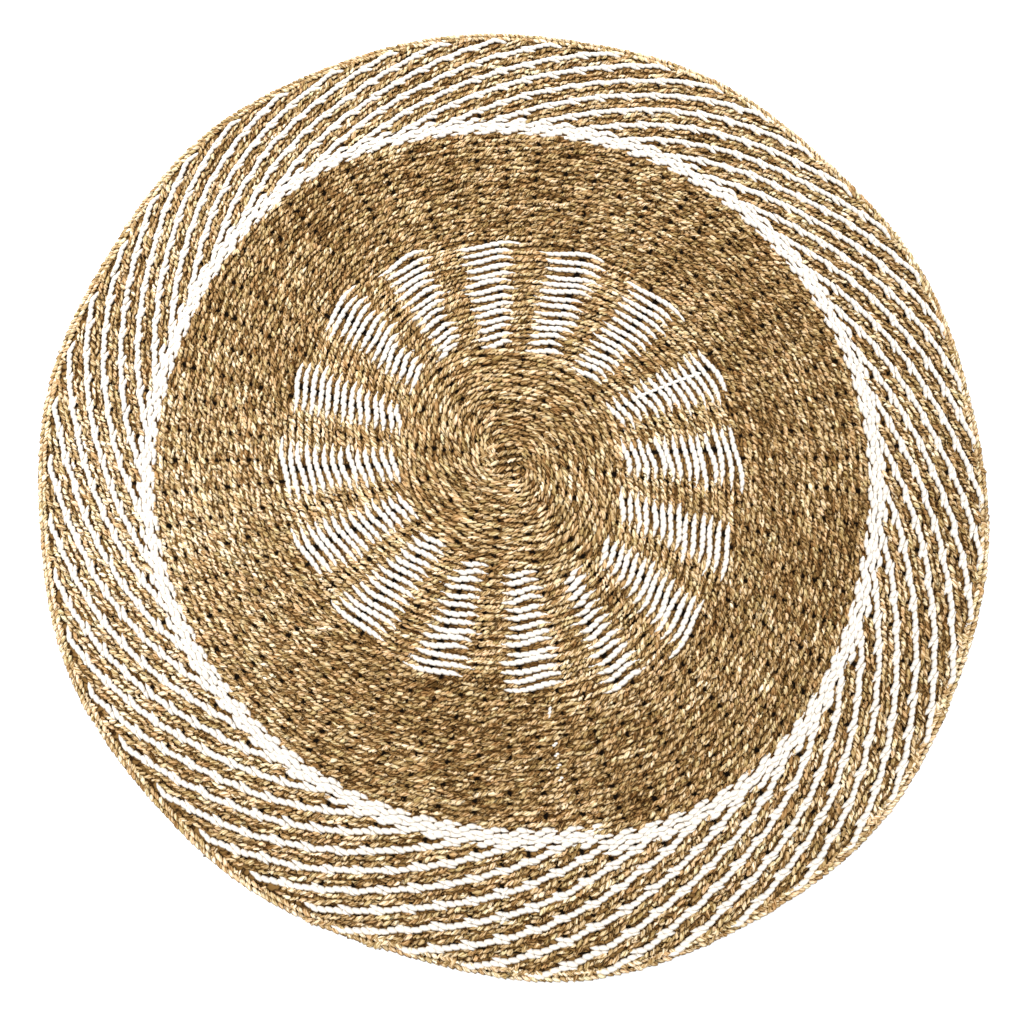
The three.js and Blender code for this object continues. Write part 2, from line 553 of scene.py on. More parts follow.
# %% Making a piece from paths
ROUGH = {"turn": 15, "size": 0.25, "side": 0.6, "lumps": 1.6, "taper": 0.2}
LAID = {"turn": 8, "size": 0.18, "side": 0.3, "lumps": 1.0, "taper": 0.1}
EVEN = {"turn": 4, "size": 0.06, "side": 0.2, "lumps": 0.5, "taper": 0.12}
POINTED = {"turn": 4, "size": 0.08, "side": 0.2, "lumps": 0.6, "taper": 0.22}
STRAND_SPREAD = 0.22


def set_inputs(modifier, values):
    """Sets a modifier's inputs by the names that the tree gives them."""
    known = {item.name: item.identifier for item in modifier.node_group.interface.items_tree}
    for name, value in values.items():
        modifier[known[name]] = value


def path_mesh(name, paths, strands):
    """A mesh of edges from paths, each a row of points. strands has a number for each path."""
    count, steps = paths.shape[:2]
    starts = np.arange(count)[:, None] * steps + np.arange(steps - 1)
    edges = np.stack([starts, starts + 1], axis=-1).reshape(-1, 2)
    mesh = bpy.data.meshes.new(name)
    mesh.from_pydata(paths.reshape(-1, 3).tolist(), edges.tolist(), [])
    strand = mesh.attributes.new("strand", "FLOAT", "POINT")
    strand.data.foreach_set("value", np.repeat(strands, steps).astype(np.float32))
    return mesh


def lay_cords(name, paths, cord, finish, seed, spreads=ROUGH, paler=0.0):
    """One piece of the rug: plies of one kind laid along many paths."""
    strands = paler + STRAND_SPREAD * np.random.default_rng(seed).random(len(paths))
    piece = bpy.data.objects.new(name, path_mesh(name, paths, strands))
    bpy.context.scene.collection.objects.link(piece)
    modifier = piece.modifiers.new("plies", "NODES")
    modifier.node_group = PLY_TREE
    set_inputs(modifier, {
        "Ply": cord["ply"],
        "Half Twist": cord["half_twist"] * MM,
        "Turn Spread": math.radians(spreads["turn"]),
        "Size Spread": spreads["size"],
        "Side Spread": spreads["side"] * MM,
        "Lumps": spreads["lumps"] * MM,
        "Taper": spreads["taper"],
        "Seed": seed,
        "Finish": finish,
    })
    graph = bpy.context.evaluated_depsgraph_get()
    laid = piece.evaluated_get(graph)
    mesh = bpy.data.meshes.new_from_object(laid, preserve_all_data_layers=True, depsgraph=graph)
    piece.modifiers.clear()
    piece.data = mesh
    mesh.name = name
    print(name, "has", len(paths), "cords and", triangle_count(piece), "triangles")
    return piece


# %% [markdown]
# ## The finishes
#
# A finish is a Principled shader whose colour, roughness and bump are worked out from the grain's
# own numbers and its map. Pictures of grass could be wrapped round the grains, but worked out
# colours are sharp at any size. These helpers are shared by the finishes.

# %% Helpers for finishes
BUMP_STRENGTH = 0.6
DRY_SHINE = 0.05
TONE_STEPS = {"along": 37.0, "deep": 91.0}


def shader_tree(name):
    """A new material with an empty tree."""
    material = bpy.data.materials.new(name)
    material.use_nodes = True
    tree = material.node_tree
    tree.nodes.clear()
    return material, Wire(tree)


def finish_with(start, color, roughness, height, depth):
    """Joins the colour, the roughness and a bump to a Principled shader."""
    bump = {"Strength": BUMP_STRENGTH, "Distance": depth, "Height": height}
    normal = start.add("ShaderNodeBump", None, bump)
    look = {"Base Color": color, "Roughness": roughness, "Normal": normal}
    look["Specular IOR Level"] = DRY_SHINE
    shader = start.add("ShaderNodeBsdfPrincipled", None, look)
    start.add("ShaderNodeOutputMaterial", None, {"Surface": shader})


def mixed(start, share, first, second, blend="MIX"):
    """Two colours mixed."""
    settings = {"data_type": "RGBA", "blend_type": blend}
    return start.add("ShaderNodeMix", settings, {"Factor": share, "A": first, "B": second})


def ramp(start, share, stops):
    """A colour that runs through the stops as the share goes from 0 to 1."""
    return start.add("ShaderNodeValToRGB", {"stops": stops}, {"Fac": share}, "Color")


def noise(start, place, scale, detail, output=0):
    """A cloudy pattern. scale is how often it changes in a metre, or in a unit of the place."""
    inputs = {"Vector": place, "Scale": scale, "Detail": detail}
    return start.add("ShaderNodeTexNoise", None, inputs, output)


def attribute(start, name):
    return start.add("ShaderNodeAttribute", {"attribute_name": name}, None, "Fac")


def fibres(start, along, around, tone, lengthwise, crosswise):
    """Streaks along a ply, different on each because its tone moves them."""
    moved = along * lengthwise + tone * TONE_STEPS["along"]
    place = start.vector(moved, around * crosswise, tone * TONE_STEPS["deep"])
    return noise(start, place, scale=1.0, detail=2.0)


def hill(start, share, top=1.0):
    """Highest where the share is a half, and 1 lower where it is 0 or 1."""
    return top - start.math("ABSOLUTE", share - 0.5) * 2.0


def risen(place, foot, rise):
    """0 below a height of foot millimetres, and 1 from a rise above it."""
    return ((place.part("Z") / MM - foot) / rise).clamped()


def at_least(least, mask):
    """A mask that doesn't fall below the least share."""
    return mask * (1 - least) + least


# %% [markdown]
# Seagrass dries to many colours: pale straw, tan, a little olive, brown. Each grain takes a tone of
# its own from its random numbers, each cord is a little lighter or darker as a whole, and one side
# of the rug is paler than the other. Fibres run along the grain as fine streaks, and a folded leaf
# shows as a broad one. A tone times a large number has random decimals, which serve as a second
# and a third random number.
#
# The flanks and tips of a grain are darker than its crown, and so is all that lies deep, and the
# creases of a folded leaf: all of it is painted shade. Plain black would look like soot there, so
# the ramp of painted shade goes through browns.

# %% Seagrass
GRASS_COLORS = [
    (0.00, srgb(86, 60, 28)),
    (0.22, srgb(140, 108, 66)),
    (0.50, srgb(190, 161, 115)),
    (0.78, srgb(229, 206, 170)),
    (1.00, srgb(252, 240, 218)),
]
GRASS_TINTS = [
    (0.0, (1.0, 0.87, 0.77)),
    (0.3, (1.0, 0.96, 0.91)),
    (0.7, (1.0, 1.0, 0.96)),
    (1.0, (0.93, 0.96, 0.82)),
]
# The colours of the painted shade, from the deepest to none.
PAINTED_SHADE_RAMP = [
    (0.0, (0.040, 0.014, 0.003)),
    (0.3, (0.275, 0.200, 0.115)),
    (0.6, (0.640, 0.585, 0.490)),
    (1.0, (1.0, 1.0, 1.0)),
]
SCRAMBLE = {"tint": 17.3, "edge": 7.7}
SHADE = {"base": 0.08, "tone": 0.5, "patches": 0.5, "streak": 0.35, "leaf": 0.5}
PALE_SIDE = {"middle": (-0.4, -0.1, 0.0), "fall_per_metre": 3.4, "strength": 0.3}
PATCHES_PER_METRE = 9.0
STREAKS = {"lengthwise": 3.0, "crosswise": 26.0}
LEAVES = {"lengthwise": 1.6, "crosswise": 7.0}
LEAF_CONTRAST = 3.6
LEAF_CUT = 1.3
# The painted shade: how it grows with depth, on flanks, tips and leaf creases, and how dark it
# gets.
GRASS_SHADOW = {"foot": 4.0, "rise": 4.5}
FLANK = {"widest": 0.25, "slope": 2.3}
TIPS = {"top": 1.05, "slope": 3.0}
CREASE_SLOPE = 3.0
DARKEST = {"flank": 0.3, "depth": 0.1, "crease": 0.55}
GRASS_ROUGHNESS = {"smoothest": 0.5, "streaks": 0.2}
GRASS_BUMP = {"leaf": 2.0, "depth": 0.35 * MM}


def seagrass():
    material, start = shader_tree("seagrass")
    tone = attribute(start, "tone")
    strand = attribute(start, "strand")
    ply_map = start.add("ShaderNodeUVMap", {"uv_map": "ply"})
    along, around = ply_map.part("X"), ply_map.part("Y")
    place = start.add("ShaderNodeTexCoord", None, None, "Object")
    patches = noise(start, place, PATCHES_PER_METRE, detail=3.0)
    streak = fibres(start, along, around, tone, **STREAKS)
    leaf = fibres(start, along, around, tone + 0.5, **LEAVES)
    leaf = (leaf * LEAF_CONTRAST - LEAF_CUT).clamped()

    ends = {0: place, 1: PALE_SIDE["middle"]}
    left = start.add("ShaderNodeVectorMath", {"operation": "DISTANCE"}, ends, "Value")
    glow = (1 - left * PALE_SIDE["fall_per_metre"]).clamped() * PALE_SIDE["strength"]
    shade = tone * SHADE["tone"] + strand + (patches - 0.5) * SHADE["patches"] + glow
    shade = shade + (streak - 0.5) * SHADE["streak"] + (leaf - 0.5) * SHADE["leaf"] + SHADE["base"]
    tint = ramp(start, start.math("FRACT", tone * SCRAMBLE["tint"]), GRASS_TINTS)
    color = mixed(start, 1.0, ramp(start, shade, GRASS_COLORS), tint, "MULTIPLY")

    # Painted shade: flanks, tips, deep places and leaf creases are darkened.
    edge = start.math("FRACT", tone * SCRAMBLE["edge"]) * FLANK["widest"]
    flank = ((hill(start, around) - edge) * FLANK["slope"]).clamped()
    tips = (hill(start, along, TIPS["top"]).clamped() * TIPS["slope"]).clamped()
    depth = risen(place, **GRASS_SHADOW)
    crease = (leaf * CREASE_SLOPE).clamped()
    light = at_least(DARKEST["flank"], flank * tips)
    light = light * at_least(DARKEST["depth"], depth) * at_least(DARKEST["crease"], crease)
    shaded = mixed(start, 1.0, color, ramp(start, light, PAINTED_SHADE_RAMP), "MULTIPLY")
    roughness = GRASS_ROUGHNESS["smoothest"] + streak * GRASS_ROUGHNESS["streaks"]
    height = leaf * GRASS_BUMP["leaf"] + streak
    finish_with(start, shaded, roughness, height, GRASS_BUMP["depth"])
    return material


SEAGRASS = seagrass()
print("the seagrass has", len(SEAGRASS.node_tree.nodes), "nodes")

# %% [markdown]
# Bleached cord is one colour, a warm white. It needs only light shading on its flanks and in the
# depth, or its plies would look like beads on a string.

# %% Bleached cord
BLEACHED_SHADE = (*srgb(150, 126, 106), 1)
BLEACHED_CROWN = (*srgb(231, 226, 217), 1)
BLEACHED_SHADOW = {"foot": 3.0, "rise": 4.0}
BLEACHED_STREAKS = {"lengthwise": 3.0, "crosswise": 30.0}
BLEACHED_FLANK = {"widest": 0.35, "slope": 2.0}
BLEACHED_DARKEST = {"flank": 0.7, "depth": 0.6}
BLEACHED_LIGHT = {"least": 0.7, "streaks": 0.6}
BLEACHED_ROUGHNESS = 0.75
BLEACHED_BUMP_DEPTH = 0.2 * MM


def bleached_cord():
    material, start = shader_tree("bleached cord")
    tone = attribute(start, "tone")
    ply_map = start.add("ShaderNodeUVMap", {"uv_map": "ply"})
    around = ply_map.part("Y")
    streak = fibres(start, ply_map.part("X"), around, tone, **BLEACHED_STREAKS)
    place = start.add("ShaderNodeTexCoord", None, None, "Object")
    edge = BLEACHED_FLANK["widest"]
    flank = ((hill(start, around) - edge) * BLEACHED_FLANK["slope"]).clamped()
    depth = risen(place, **BLEACHED_SHADOW)
    light = at_least(BLEACHED_DARKEST["flank"], flank) * at_least(BLEACHED_DARKEST["depth"], depth)
    light = light * (BLEACHED_LIGHT["least"] + streak * BLEACHED_LIGHT["streaks"])
    color = mixed(start, light.clamped(), BLEACHED_SHADE, BLEACHED_CROWN)
    finish_with(start, color, BLEACHED_ROUGHNESS, streak, BLEACHED_BUMP_DEPTH)
    return material


BLEACHED = bleached_cord()
print("the bleached cord has", len(BLEACHED.node_tree.nodes), "nodes")

# %% [markdown]
# ## The ground of the rug
#
# Between the cords the eye looks down into the rug, where spokes and hidden strands lie in the
# dark. They could be laid as cords too, and nobody would see them. So one closed sheet stands for
# all of that: its upper face lies below the visible cords, its lower face is the rug's underside.
# Both follow the spiral of rows. It is a mesh made ring by ring, because its shape is a plain
# function of the plan. Heights are in millimetres above the floor.

# %% Rings of the ground
GROUND_STEPS = 72
GROUND_TOP = {"groove": 4.8, "crest": 5.8}
GROUND_UNDER = {"groove": 1.2, "crest": 0.0}
GROUND_SIDES = (1.0, 5.0)
GROUND_INSET = 2.5
WHOLE_TURNS = zone_end["border"] + 1


def spiral_rings(heights):
    """Rings of points that follow the spiral's grooves and crests from the middle to the edge."""
    share = np.arange(GROUND_STEPS) / GROUND_STEPS
    angle = direction_at(share)
    for line in range(1, 2 * WHOLE_TURNS):
        turns = np.minimum(line / 2 - 0.5 + share, WHOLE_TURNS)
        crest = np.sin(np.pi * (line / 2 - 0.5)) ** 2
        height = heights["groove"] + (heights["crest"] - heights["groove"]) * crest
        yield placed(uneven_radius(radius_after(turns), angle), angle, height)


def ground_faces(rings, last):
    """Fans round the two middle points, 0 and last, and a band of faces between two rings."""
    faces = []
    for step in range(GROUND_STEPS):
        after = (step + 1) % GROUND_STEPS
        faces.append((0, 1 + step, 1 + after))
        for ring in range(rings - 1):
            a, b = 1 + ring * GROUND_STEPS + step, 1 + ring * GROUND_STEPS + after
            faces.append((a, a + GROUND_STEPS, b + GROUND_STEPS, b))
        a, b = last - GROUND_STEPS + step, last - GROUND_STEPS + after
        faces.append((a, last, b))
    return faces


print("each side of the ground has", 2 * WHOLE_TURNS - 1, "rings")

# %% [markdown]
# The dark finish of the ground has to know where the spokes cross the rows, because there the
# weave leaves its deepest pits. So the upper face gets two UV maps that simply count: one the
# hidden grains along a row, the other the spokes. Their upright direction counts half rows.
#
# The number of spokes grows outwards: when the gaps between them get wide, the weaver adds more.

# %% Maps of the hidden weave
SPOKES = {"first": 8, "middle": 16, "rays": 32, "plain": 64, "border": 97}
FIRST_TURNS = 4
PLAIN_SHIFT = 0.45
GRAIN_LENGTH = 9
HALF_ROWS = 2 * WHOLE_TURNS - 1


def spokes_in(turns):
    """How many spokes there are after so many turns."""
    if turns < FIRST_TURNS:
        return SPOKES["first"]
    return next((SPOKES[zone] for zone, end in zone_end.items() if turns < end), SPOKES["border"])


def ground_maps(mesh, first_over):
    """Two UV maps of the upper face. hidden counts its grains, and spokes its spokes and rows."""
    hidden = mesh.uv_layers.new(name="hidden")
    spokes = mesh.uv_layers.new(name="spokes")
    for face in mesh.polygons:
        cells = [
            divmod(mesh.loops[loop].vertex_index - 1, GROUND_STEPS) for loop in face.loop_indices
        ]
        rings = [ring - first_over for ring, step in cells]
        if min(rings) < 0 or max(rings) >= HALF_ROWS:
            continue
        steps = [step for ring, step in cells]
        wraps = max(steps) - min(steps) > 1
        turns = (HALF_ROWS - max(rings)) / 2 + 0.25  # in the middle of this face
        grains = round(2 * math.pi * float(radius_after(turns)) / GRAIN_LENGTH)
        shift = PLAIN_SHIFT if zone_end["rays"] < turns < zone_end["plain"] else 0
        for loop, step, ring in zip(face.loop_indices, steps, rings):
            share = (step + (GROUND_STEPS if wraps and step == 0 else 0)) / GROUND_STEPS
            line = HALF_ROWS - ring
            hidden.data[loop].uv = (share * grains, line)
            spokes.data[loop].uv = (share * spokes_in(turns) - shift, line)


print("the spokes grow from", SPOKES["first"], "to", SPOKES["border"])

# %% [markdown]
# The sheet needs a map for baking too. It is flat, so a plan view of its top and one of its
# underside, side by side, have no overlaps.

# %% The map of the ground for baking
BAKE_HALVES = {"upper": 0.24, "under": 0.74}
BAKE_WIDTH_PER_METRE = 0.38
BAKE_HEIGHT_PER_METRE = 0.76


def bake_map(mesh):
    """The map for baking: the upper face in the left half, the underside in the right half."""
    layer = mesh.uv_layers.new(name="OFBake")
    for face in mesh.polygons:
        half = BAKE_HALVES["upper" if face.normal.z > 0 else "under"]
        for loop in face.loop_indices:
            place = mesh.vertices[mesh.loops[loop].vertex_index].co
            across = half + BAKE_WIDTH_PER_METRE * place.x
            layer.data[loop].uv = (across, 0.5 + BAKE_HEIGHT_PER_METRE * place.y)


print("each half of the map has room for", round(1 / BAKE_HEIGHT_PER_METRE, 2), "m")

# %% [markdown]
# The finish of the ground draws hidden grains in brown on its upper face, cell by cell of the first
# map. Between the grains it paints shade, and at each crossing of the second map it paints the
# black shadow of a pit. Its browns are darker than the grass on top: partly the colour of hidden
# grass, partly painted shade of the depth. A slow noise bends the cells, so that they don't line
# up. The underside is paler grass.

# %% The shaded finish of the ground
# Painted shade: between grains is the shade in the weave's gaps, pit the shadow in its holes.
GROUND_COLORS = {
    "dark grain": (*srgb(84, 56, 24), 1),
    "light grain": (*srgb(150, 116, 68), 1),
    "between grains": (*srgb(40, 22, 7), 1),
    "pit": (*srgb(12, 6, 2), 1),
    "dark underside": (*srgb(96, 68, 40), 1),
    "light underside": (*srgb(190, 158, 112), 1),
}
GRAINS_PER_METRE = 260.0
DRIFTS_PER_METRE = 140.0
DRIFT = 1.8
LINES_PER_HALF_ROW = 1.5
HIDDEN_CROWN = {"across": 1.8, "along": 2.4}
PIT_DEPTH = 1.7
PIT_FALL = 13.0
PITS_STOP = 1.5
UNDERSIDE = {"foot": 1.5, "rise": 1.0}
GROUND_ROUGHNESS = 0.85
GROUND_BUMP_DEPTH = 0.8 * MM


def shadowed_ground():
    material, start = shader_tree("shaded ground")
    place = start.add("ShaderNodeTexCoord", None, None, "Object")
    grain = noise(start, place, GRAINS_PER_METRE, detail=3.0)
    drift = noise(start, place, DRIFTS_PER_METRE, detail=0.0, output="Color")
    hidden = start.add("ShaderNodeUVMap", {"uv_map": "hidden"})
    u = hidden.part("X") + drift.part("X") * DRIFT
    v = hidden.part("Y") * LINES_PER_HALF_ROW + drift.part("Y") * DRIFT
    cell = start.vector(start.math("FLOOR", u), start.math("FLOOR", v))
    flat = {"noise_dimensions": "2D"}
    tone = start.add("ShaderNodeTexWhiteNoise", flat, {"Vector": cell}, "Value")
    # crown is highest in the middle of a hidden grain; towards its edges the painted shade comes
    # in.
    across = hill(start, start.math("FRACT", v))
    along = hill(start, start.math("FRACT", u))
    crown = (across * HIDDEN_CROWN["across"]).clamped() * (along * HIDDEN_CROWN["along"]).clamped()

    # The black at each crossing of a spoke and a row is the painted shadow of a pit.
    counts = start.add("ShaderNodeUVMap", {"uv_map": "spokes"})
    from_cross = start.math("ABSOLUTE", start.math("FRACT", counts.part("X") + 0.5) - 0.5)
    inside = (HALF_ROWS - PITS_STOP - counts.part("Y")).clamped()
    pit = (PIT_DEPTH - from_cross * PIT_FALL).clamped() * inside
    colors = GROUND_COLORS
    brown = mixed(start, tone, colors["dark grain"], colors["light grain"])
    shadow = mixed(start, crown, colors["between grains"], brown)
    dark = mixed(start, pit, shadow, colors["pit"])
    pale = mixed(start, grain, colors["dark underside"], colors["light underside"])
    color = mixed(start, risen(place, **UNDERSIDE), pale, dark)
    finish_with(start, color, GROUND_ROUGHNESS, grain + crown, GROUND_BUMP_DEPTH)
    return material


GROUND_FINISH = shadowed_ground()
print("the ground's finish has", len(GROUND_FINISH.node_tree.nodes), "nodes")

# %% [markdown]
# The sheet itself goes from the middle of the underside out to the rim, up its side and back in
# over the top, so it is closed and its faces point outwards.

# %% The ground sheet
def ground_sheet(finish):
    angle = direction_at(np.arange(GROUND_STEPS) / GROUND_STEPS)
    edge = uneven_radius(np.full_like(angle, RUG_RADIUS - GROUND_INSET), angle)
    under = list(spiral_rings(GROUND_UNDER))
    sides = [placed(edge, angle, height) for height in GROUND_SIDES]
    over = list(spiral_rings(GROUND_TOP))
    rings = [*under, *sides, *over[::-1]]
    bottom, top = placed(0, 0, 0)[None], placed(0, 0, GROUND_TOP["crest"])[None]
    points = np.concatenate([bottom, *rings, top])
    mesh = bpy.data.meshes.new("rug_ground")
    mesh.from_pydata(points.tolist(), [], ground_faces(len(rings), len(points) - 1))
    mesh.shade_smooth()
    ground_maps(mesh, len(under) + len(sides))
    bake_map(mesh)
    mesh.materials.append(finish)
    piece = bpy.data.objects.new("rug_ground", mesh)
    bpy.context.scene.collection.objects.link(piece)
    return piece


ground = ground_sheet(GROUND_FINISH)
print("the ground sheet has", triangle_count(ground), "triangles")

# %% [markdown]
# ## Paths of the visible cords
#
# Where a strand passes over a spoke it comes up on the inner side of its row, crosses the spoke and
# goes down on the outer side. Whole strands could be traced under and over, but the half that goes
# under is never seen. So a path is one stretch over a spoke. It has a centre, counted in turns of
# the spiral, a reach to either side of it, a drift across the row and a height that is full over
# the spoke and falls at the ends.
#
# Hands don't lay two stretches alike. The loose shares say how much each of these numbers varies.
# A path may also gather: its ends close up with the other cord of its pair, which leaves the small
# dark holes of the real weave.

# %% Paths over spokes
CORD_TOP = 7.2
LOWEST_MIDDLE = 4.8
DIVE_POWER = 4
PATH_POINTS = 13
LOOSE = {"reach": 0.05, "shift": 0.06, "drift": 0.15, "bend": 0.04, "side": 0.03, "height_mm": 0.35}
GATHER_FROM = 0.45
GATHER_OVER = 0.3
SMALLEST_RADIUS = 0.5
HAND_SEED = 11
random = np.random.default_rng(HAND_SEED)


def row_radius(turns):
    """The mean radius of a row that starts after so many turns. The last runs into the edge."""
    beyond = np.maximum(turns - zone_end["border"] - 0.5, 0)
    last_pitch = WOVEN_RADIUS - ZONE_RADIUS["border"]
    return radius_after(turns + 0.5) + beyond * last_pitch


def over_paths(
    centre, reach, drift, lane, dive=2.8, top=CORD_TOP, slack=1.0, curl=0.6, gather=0.0
):
    """Paths over spokes. centre and reach are in turns, drift and lane in widths of the row.

    dive and top are in millimetres. slack is how unevenly the paths are laid, curl how far they
    bend like an S, and gather how far their ends close up.
    """
    def chance():
        return random.standard_normal((len(centre), 1))

    along = np.linspace(-1, 1, PATH_POINTS)
    reach = reach * (1 + LOOSE["reach"] * slack * chance())
    shift = reach * LOOSE["shift"] * slack * chance()
    turns = centre[:, None] + shift + reach * along
    pitch = row_radius(centre + 0.5) - row_radius(centre - 0.5)
    tilt = drift * (1 + LOOSE["drift"] * slack * chance()) / 2
    bend = LOOSE["bend"] * slack * chance() * np.cos(np.pi * along)
    crossing = np.sin(curl * np.pi * along)
    gathered = gather * np.clip((np.abs(along) - GATHER_FROM) / GATHER_OVER, 0, 1)
    side = LOOSE["side"] * slack * chance()
    across = (tilt * crossing + bend + lane * (1 - gathered) + side) * pitch[:, None]
    fall = dive * np.abs(along) ** DIVE_POWER
    height = top - fall + LOOSE["height_mm"] * slack * chance()
    angle = direction_at(turns)
    radius = uneven_radius(np.maximum(row_radius(turns) + across, SMALLEST_RADIUS), angle)
    return placed(radius, angle, np.maximum(height, LOWEST_MIDDLE))


def spoke_centres(first, last, spokes):
    """The places of the spokes between two turns of the spiral."""
    return first + (np.arange(round((last - first) * spokes)) + 0.5) / spokes


print("the last turn of the border crosses", len(spoke_centres(0, 1, SPOKES["border"])), "spokes")

# %% [markdown]
# ## The middle
#
# The weaver starts with a few cords laid side by side, and twines round them once they are caught.
# Those first cords are plain strokes from one place to another, read off the photograph in
# millimetres from the weave's centre. All later cords of the middle come as pairs over a spoke,
# because in plain grass a strand is two cords side by side.

# %% The middle
PAIR_LANE = 0.23
PAIR_LEAD = 0.12
PAIR_CURL = 0.55
START_LINES = [
    {"from": (-31, 12), "to": (12, 20)},
    {"from": (-31, 2), "to": (16, 10)},
    {"from": (-27, -8), "to": (14, -1)},
    {"from": (-19, -16), "to": (12, -11)},
    {"from": (-9, -23), "to": (9, -20)},
]
START_HEIGHT = {"middle": 9.3, "fall": 2.5}
TWINED_FROM = 1.3
FIRST_TWINING = {"drift": 0.15, "cover": 0.6}
LATER_TWINING = {"drift": 0.2, "cover": 0.57, "gather": 0.5}
PALER_START = 0.15
PALER_MIDDLE = 0.07
middle_cord = twisted_cord(
    "middle_ply",
    half_twist=10.8,
    ply_radius=2.8,
    off_axis=0.75,
    shoulder=(0.72, 0.88),
    hand=Z_TWIST,
)


def paired(centre, spokes, drift, cover, **more):
    """Two cords side by side over each spoke. The inner one lies a little further on."""
    pairs = []
    for side in (-1, 1):
        middle = centre - side * PAIR_LEAD / spokes
        lane = side * PAIR_LANE
        pairs.append(over_paths(middle, cover / spokes, drift, lane, curl=PAIR_CURL, **more))
    return np.concatenate(pairs)


def start_paths():
    """The first cords, laid side by side across the very centre."""
    along = np.linspace(-1, 1, PATH_POINTS)
    height = START_HEIGHT["middle"] - START_HEIGHT["fall"] * along ** DIVE_POWER
    paths = []
    for line in START_LINES:
        middle = (np.array(line["from"]) + line["to"]) / 2
        half = (np.array(line["to"]) - line["from"]) / 2
        flat = middle + along[:, None] * half - outline_middle
        paths.append(np.column_stack([flat, height]) * MM)
    return np.stack(paths)


first_centres = spoke_centres(TWINED_FROM, FIRST_TURNS, SPOKES["first"])
later_centres = spoke_centres(FIRST_TURNS, zone_end["middle"], SPOKES["middle"])
middle_paths = np.concatenate([
    start_paths(),
    paired(first_centres, SPOKES["first"], **FIRST_TWINING),
    paired(later_centres, SPOKES["middle"], **LATER_TWINING),
])
is_start = np.arange(len(middle_paths)) < len(START_LINES)
middle_paler = np.where(is_start, PALER_START, PALER_MIDDLE)
middle_cords = lay_cords(
    "middle_cords", middle_paths, middle_cord, SEAGRASS, seed=21, spreads=LAID, paler=middle_paler
)

# %% [markdown]
# ## The plain ring
#
# Outside the rays comes a wide ring of plain grass, in pairs as in the middle. Between the rows a
# third, lower cord fills the gap. The holes are open on the far side of the rug and almost closed
# on the near side, so the pairs gather more towards the back. One piece would have too many faces
# for the export's limit, so the ring is made in two halves, cut between two rows.

# %% The plain ring
PLAIN_DRIFT = 0.15
PLAIN_COVER = 0.57
FILLER = {"drift": 0.25, "lane": 0.5, "dive": 1.0, "top": CORD_TOP - 2}
FILLER_COVER = 0.36
GATHERED = {"mean": 0.45, "more_at_back": 0.15}
INNER_TURNS = 7


def plain_paths(first, last):
    spokes = SPOKES["plain"]
    centres = spoke_centres(first, last, spokes) + PLAIN_SHIFT / spokes
    fill = over_paths(centres, FILLER_COVER / spokes, **FILLER)
    at_back = np.sin(direction_at(centres))[:, None]
    gather = GATHERED["mean"] + GATHERED["more_at_back"] * at_back
    return np.concatenate([paired(centres, spokes, PLAIN_DRIFT, PLAIN_COVER, gather=gather), fill])


plain_cut = zone_end["rays"] + INNER_TURNS
inner_paths = plain_paths(zone_end["rays"], plain_cut)
outer_paths = plain_paths(plain_cut, zone_end["plain"])
inner_cords = lay_cords("plain_cords_inner", inner_paths, grass_cord, SEAGRASS, seed=22)
outer_cords = lay_cords("plain_cords_outer", outer_paths, grass_cord, SEAGRASS, seed=23)

# %% [markdown]
# ## The rays
#
# For fourteen rows one of the two strands is bleached white. The spokes are even in number here, so
# the white strand comes up over the same spokes in every turn and sixteen white rays appear. They
# are not spaced quite evenly, and the widest ones are half as wide again as the narrowest. So the
# rays are a short list of directions and widths, measured in the photograph by a program and
# rounded, and each row's white stretch is a little longer or shorter than the ray is wide.

# %% Rays
RAYS = [
    {"centre_deg": 0, "width_deg": 15}, {"centre_deg": 23.5, "width_deg": 14},
    {"centre_deg": 48, "width_deg": 14.5}, {"centre_deg": 72, "width_deg": 15},
    {"centre_deg": 96, "width_deg": 14}, {"centre_deg": 117.5, "width_deg": 11.5},
    {"centre_deg": 137.5, "width_deg": 12.5}, {"centre_deg": 160, "width_deg": 13},
    {"centre_deg": 183, "width_deg": 14.5}, {"centre_deg": 206, "width_deg": 14.5},
    {"centre_deg": 228.5, "width_deg": 15}, {"centre_deg": 252, "width_deg": 13.5},
    {"centre_deg": 276, "width_deg": 13.5}, {"centre_deg": 297, "width_deg": 9.5},
    {"centre_deg": 316.5, "width_deg": 12}, {"centre_deg": 337, "width_deg": 13},
]
HALF_DEGREES_PER_TURN = 720
RAY_SHIFT = 0.1
RAY_REACH = {"mean": 1.06, "spread": 0.08}
RAY_DRIFT = 0.8
RAY_OVERLAP_DEG = 4
BETWEEN_RAYS = {"drift": 0.5, "cover": 0.5, "paler": 0.1}


def ray_rows(centre_deg):
    """Where each row of the rays crosses a direction, in turns of the spiral."""
    share = ((FIRST_SPOKE_DEG - centre_deg) / 360) % 1
    return zone_end["middle"] + share + np.arange(ZONE_TURNS["rays"])


def white_of_ray(ray):
    """The white stretches of one ray, one for each row."""
    rows = ray_rows(ray["centre_deg"])
    shift = random.normal(0, RAY_SHIFT, len(rows))
    rows = rows + shift * ray["width_deg"] / HALF_DEGREES_PER_TURN
    reach = random.normal(RAY_REACH["mean"], RAY_REACH["spread"], len(rows))
    reach = reach * ray["width_deg"] / HALF_DEGREES_PER_TURN
    return over_paths(rows, reach[:, None], RAY_DRIFT, 0)


def grass_after_ray(ray, following):
    """The pairs of grass cords between one ray and the next."""
    ray_end = ray["centre_deg"] + ray["width_deg"] / 2
    next_start = following["centre_deg"] - following["width_deg"] / 2
    gap = (next_start - ray_end) % 360
    spokes = 360 / (gap + RAY_OVERLAP_DEG)
    return paired(ray_rows(ray_end + gap / 2), spokes, BETWEEN_RAYS["drift"], BETWEEN_RAYS["cover"])


